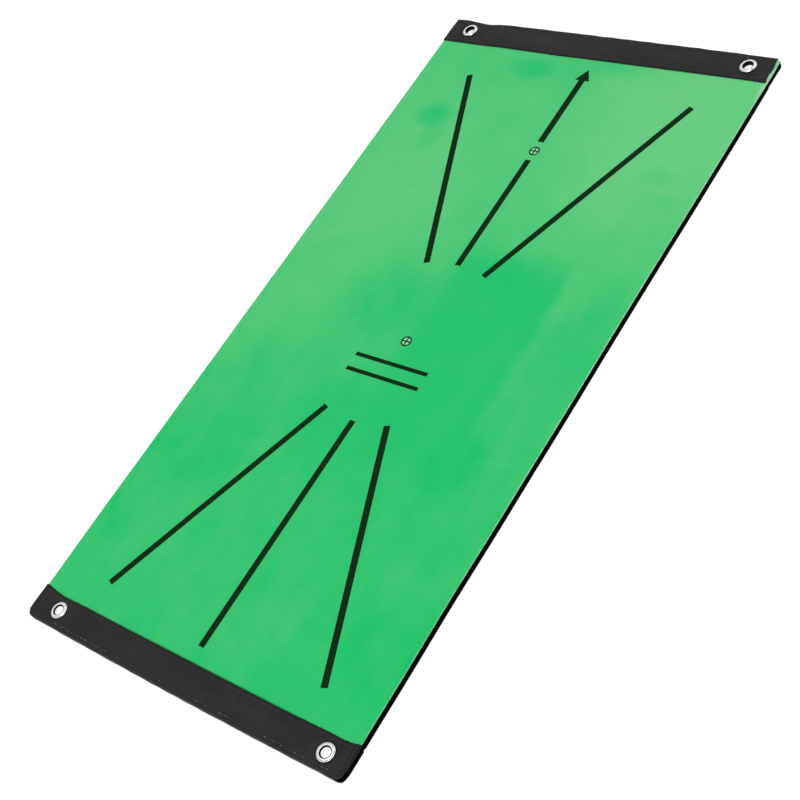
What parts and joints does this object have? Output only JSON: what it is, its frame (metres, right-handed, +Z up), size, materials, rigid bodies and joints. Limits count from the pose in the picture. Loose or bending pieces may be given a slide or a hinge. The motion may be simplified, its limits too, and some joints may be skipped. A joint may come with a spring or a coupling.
{
  "type": "golf swing practice mat",
  "caption": "Flat golf practice mat with a printed green nap face on a black rubber base, dark strips folded over both short ends and metal peg eyelets in the corners.",
  "frame": {"origin": "on the ground, under the middle of the mat", "axes": "+Y along the mat towards the target, the way the printed arrow points; +X to the right of that; +Z up out of the printed face"},
  "size_m": [0.3, 0.61, 0.0071],
  "materials": {
    "nap_fabric": "short matt nap, printed with dark lines",
    "base_rubber": "matt black",
    "end_strip": "matt charcoal imitation leather, fine grain",
    "eyelet_metal": "bright nickel plating",
    "seam_thread": "polyester sewing thread, slight sheen"
  },
  "bodies": {
    "root": {"face_fabric": "nap_fabric", "rubber_base": "base_rubber", "target_end_strip": "end_strip", "tail_end_strip": "end_strip", "eyelet_target_left": "eyelet_metal", "eyelet_target_right": "eyelet_metal", "eyelet_tail_left": "eyelet_metal", "eyelet_tail_right": "eyelet_metal", "washer_target_left": "eyelet_metal", "washer_target_right": "eyelet_metal", "washer_tail_left": "eyelet_metal", "washer_tail_right": "eyelet_metal", "needle_thread_target": "seam_thread", "bobbin_thread_target": "seam_thread", "needle_thread_tail": "seam_thread", "bobbin_thread_tail": "seam_thread"}
  },
  "joints": []
}
